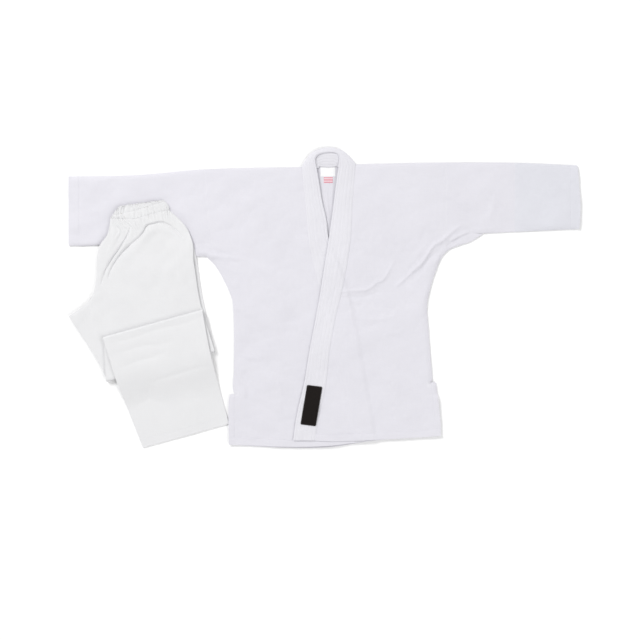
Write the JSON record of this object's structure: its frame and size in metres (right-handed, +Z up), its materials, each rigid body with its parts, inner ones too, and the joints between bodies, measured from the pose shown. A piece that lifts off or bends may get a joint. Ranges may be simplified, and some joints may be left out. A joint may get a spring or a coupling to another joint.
{
  "type": "martial arts uniform",
  "caption": "White cotton wrap jacket laid flat with sleeves out, black patch on the lapel, and elastic-waist trousers folded on its right sleeve",
  "frame": {"origin": "under the middle of the garment's bounding box, on the surface it lies on", "axes": "+X towards the cuff of the wearer's left sleeve, +Y towards the collar, +Z up from the surface"},
  "size_m": [1.43, 0.838, 0.0228],
  "materials": {
    "jacket_cotton": "matt cotton canvas, plain weave",
    "band_cotton": "matt cotton canvas, folded double and stitched in rows",
    "trouser_cotton": "matt light cotton drill",
    "black_twill": "matt twill, sewn edge",
    "white_satin": "satin woven label",
    "pink_print": "woven tab with plain pink stripes",
    "elastic": "ribbed woven elastic"
  },
  "bodies": {
    "jacket": {"back_hem": "band_cotton", "back_panel_left": "jacket_cotton", "back_panel_right": "jacket_cotton", "left_bartack": "band_cotton", "left_front_side": "jacket_cotton", "left_lapel_upper": "band_cotton", "left_side_hem": "band_cotton", "left_underarm_gusset": "jacket_cotton", "left_upper_sleeve_back": "jacket_cotton", "left_upper_sleeve_front": "jacket_cotton", "left_vent_facing_back": "band_cotton", "left_vent_facing_front": "band_cotton", "neck_band": "band_cotton", "neck_band_facing": "band_cotton", "neck_label": "white_satin", "right_bartack": "band_cotton", "right_cuff_hem_back": "band_cotton", "right_cuff_hem_front": "band_cotton", "right_front_hem": "band_cotton", "right_front_panel": "jacket_cotton", "right_lapel": "band_cotton", "right_sleeve_back": "jacket_cotton", "right_sleeve_front": "jacket_cotton", "right_underarm_gusset": "jacket_cotton", "right_vent_facing_back": "band_cotton", "right_vent_facing_front": "band_cotton", "size_tab": "pink_print"},
    "left_front": {"left_front_flap": "jacket_cotton", "left_flap_hem": "band_cotton", "left_lapel_flap": "band_cotton", "lapel_patch": "black_twill"},
    "left_forearm": {"left_cuff_hem_back": "band_cotton", "left_cuff_hem_front": "band_cotton", "left_forearm_back": "jacket_cotton", "left_forearm_front": "jacket_cotton", "left_sleeve_end_back": "jacket_cotton", "left_sleeve_end_front": "jacket_cotton"},
    "trousers": {"crotch_gusset": "trouser_cotton", "drawstring": "trouser_cotton", "left_thigh_back": "trouser_cotton", "left_thigh_front": "trouser_cotton", "right_thigh_back": "trouser_cotton", "right_thigh_front": "trouser_cotton", "waist_elastic_left": "elastic", "waist_elastic_right": "elastic", "waistband_left": "trouser_cotton", "waistband_right": "trouser_cotton"},
    "knees": {"left_knee_back": "trouser_cotton", "left_knee_front": "trouser_cotton", "right_knee_back": "trouser_cotton", "right_knee_front": "trouser_cotton"},
    "shins": {"left_leg_hem": "trouser_cotton", "left_shin_back": "trouser_cotton", "left_shin_front": "trouser_cotton", "right_leg_hem": "trouser_cotton", "right_shin_back": "trouser_cotton", "right_shin_front": "trouser_cotton"}
  },
  "joints": [
    {"name": "left_front_open", "type": "hinge", "parent": "jacket", "child": "left_front", "pos_m": [0.211, -0.392, 0.012], "axis": [-0.2215, 0.9752, 0], "range_deg": [0, 160]},
    {"name": "left_forearm_fold", "type": "hinge", "parent": "jacket", "child": "left_forearm", "pos_m": [0.455, 0.28, 0.009], "axis": [0, -1, 0], "range_deg": [0, 170]},
    {"name": "trousers_lift", "type": "slide", "parent": "jacket", "child": "trousers", "axis": [0, 0, 1], "range_m": [0, 0.3]},
    {"name": "legs_unfold", "type": "hinge", "parent": "trousers", "child": "knees", "pos_m": [-0.458, -0.1865, 0.0102], "axis": [0.9636, 0.2672, 0], "range_deg": [0, 165]},
    {"name": "shins_unfold", "type": "hinge", "parent": "knees", "child": "shins", "pos_m": [-0.48793, -0.07857, 0.0166], "axis": [0.9636, 0.2672, 0], "range_deg": [-165, 0]}
  ],
  "couplings": [
    {"joint": "shins_unfold", "follows": "legs_unfold", "ratio": -1}
  ]
}
